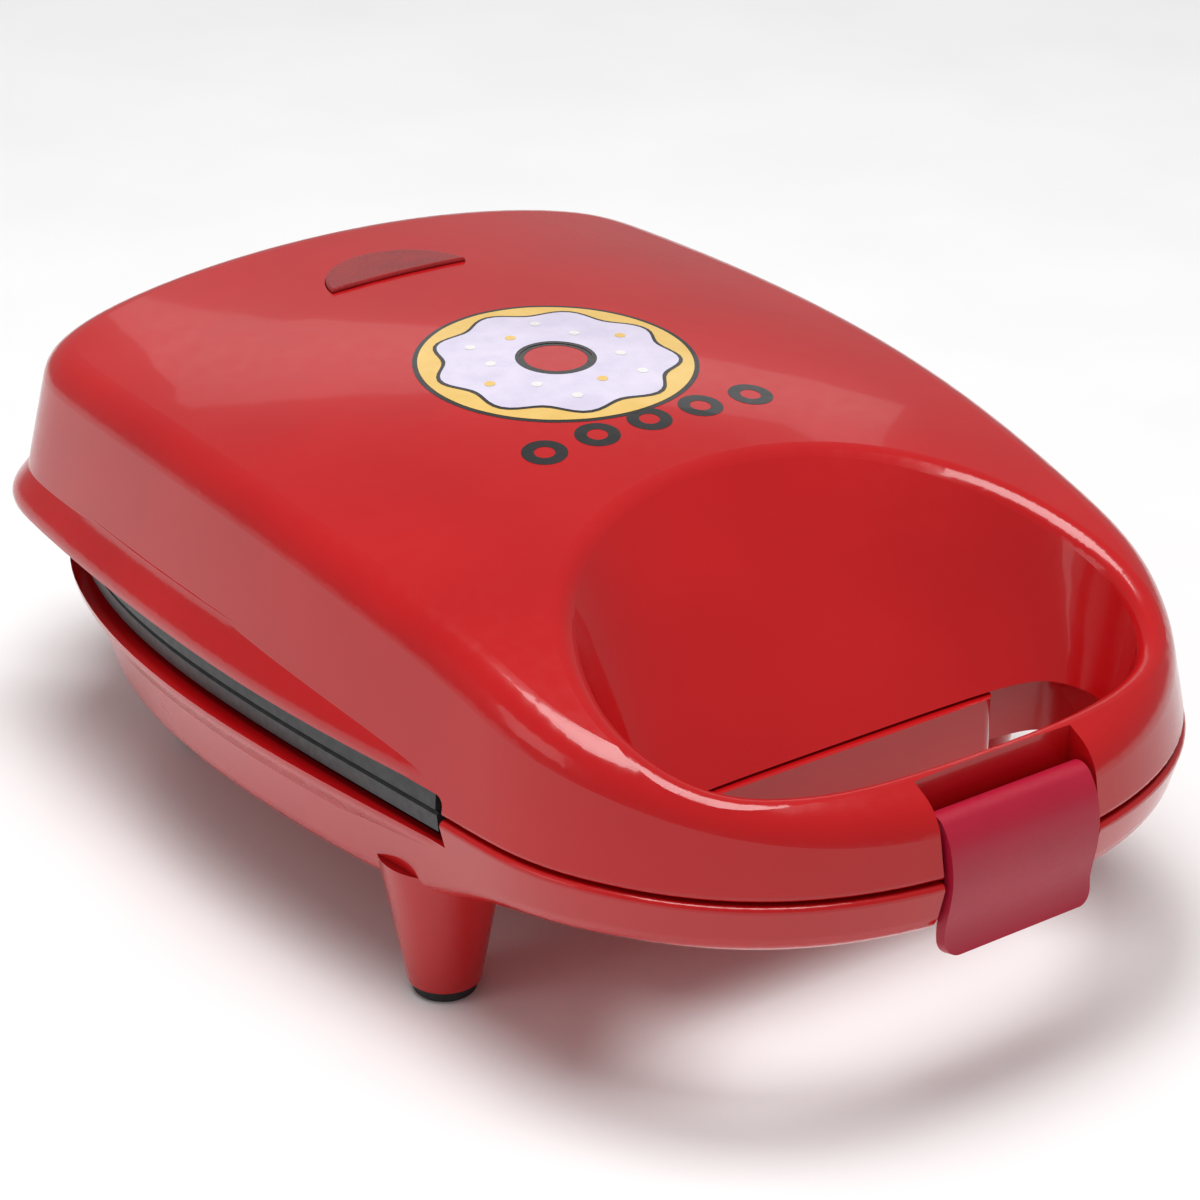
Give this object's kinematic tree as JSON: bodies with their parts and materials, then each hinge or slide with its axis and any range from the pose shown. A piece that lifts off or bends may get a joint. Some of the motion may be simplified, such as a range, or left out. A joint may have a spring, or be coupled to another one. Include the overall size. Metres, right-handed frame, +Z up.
{
  "type": "donut maker",
  "caption": "Countertop donut maker: clamshell with ring-cup plates, domed hinged lid with finger opening, front latch and padded legs.",
  "frame": {"origin": "centre of the box on the surface it stands on", "axes": "+X to the right, +Y from the latch to the hinge, +Z up"},
  "size_m": [0.1674, 0.255, 0.0933],
  "materials": {
    "red_shell": "glossy moulded plastic",
    "red_latch": "satin moulded plastic",
    "red_lens": "translucent red plastic",
    "nonstick_plate": "dark non-stick coating on cast aluminium",
    "element_steel": "oxidised steel tube",
    "shield_sheet": "bright rolled sheet",
    "screw_steel": "zinc plated",
    "pin_steel": "drawn steel",
    "control_plastic": "heat-resistant moulding",
    "terminal_plastic": "white moulding",
    "lamp_glass": "clear lamp with an amber glow",
    "fuse_metal": "plated can",
    "black_rubber": "matt rubber",
    "wire_jacket": "silicone jacket"
  },
  "bodies": {
    "base": {"base_cover": "red_shell", "lower_plate": "nonstick_plate", "lower_heater": "element_steel", "lower_heat_shield": "shield_sheet", "base_screws": "screw_steel", "lower_shield_screws": "screw_steel", "terminal_screws": "screw_steel", "hinge_pin_left": "pin_steel", "hinge_pin_right": "pin_steel", "terminal_block": "terminal_plastic", "thermal_fuse": "fuse_metal", "fuse_clip": "shield_sheet", "cord_gland": "black_rubber", "base_leads": "wire_jacket", "foot_pad_front_left": "black_rubber", "foot_pad_front_right": "black_rubber", "foot_pad_back_left": "black_rubber", "foot_pad_back_right": "black_rubber"},
    "lid": {"lid_cover": "red_shell", "upper_plate": "nonstick_plate", "upper_heater": "element_steel", "upper_heat_shield": "shield_sheet", "upper_plate_screws": "screw_steel", "upper_shield_screws": "screw_steel", "thermostat": "control_plastic", "thermostat_screws": "screw_steel", "indicator_lens": "red_lens", "lamp_holder": "control_plastic", "power_lamp": "lamp_glass", "ready_lamp": "lamp_glass", "lid_leads": "wire_jacket", "latch_pin": "pin_steel"},
    "latch": {"latch": "red_latch"}
  },
  "joints": [
    {"name": "lid_hinge", "type": "hinge", "parent": "base", "child": "lid", "pos_m": [0, 0.123, 0.0483], "axis": [-1, 0, 0], "range_deg": [0, 100]},
    {"name": "latch_pivot", "type": "hinge", "parent": "lid", "child": "latch", "pos_m": [0, -0.1218, 0.0557], "axis": [-1, 0, 0], "range_deg": [0, 40]}
  ]
}
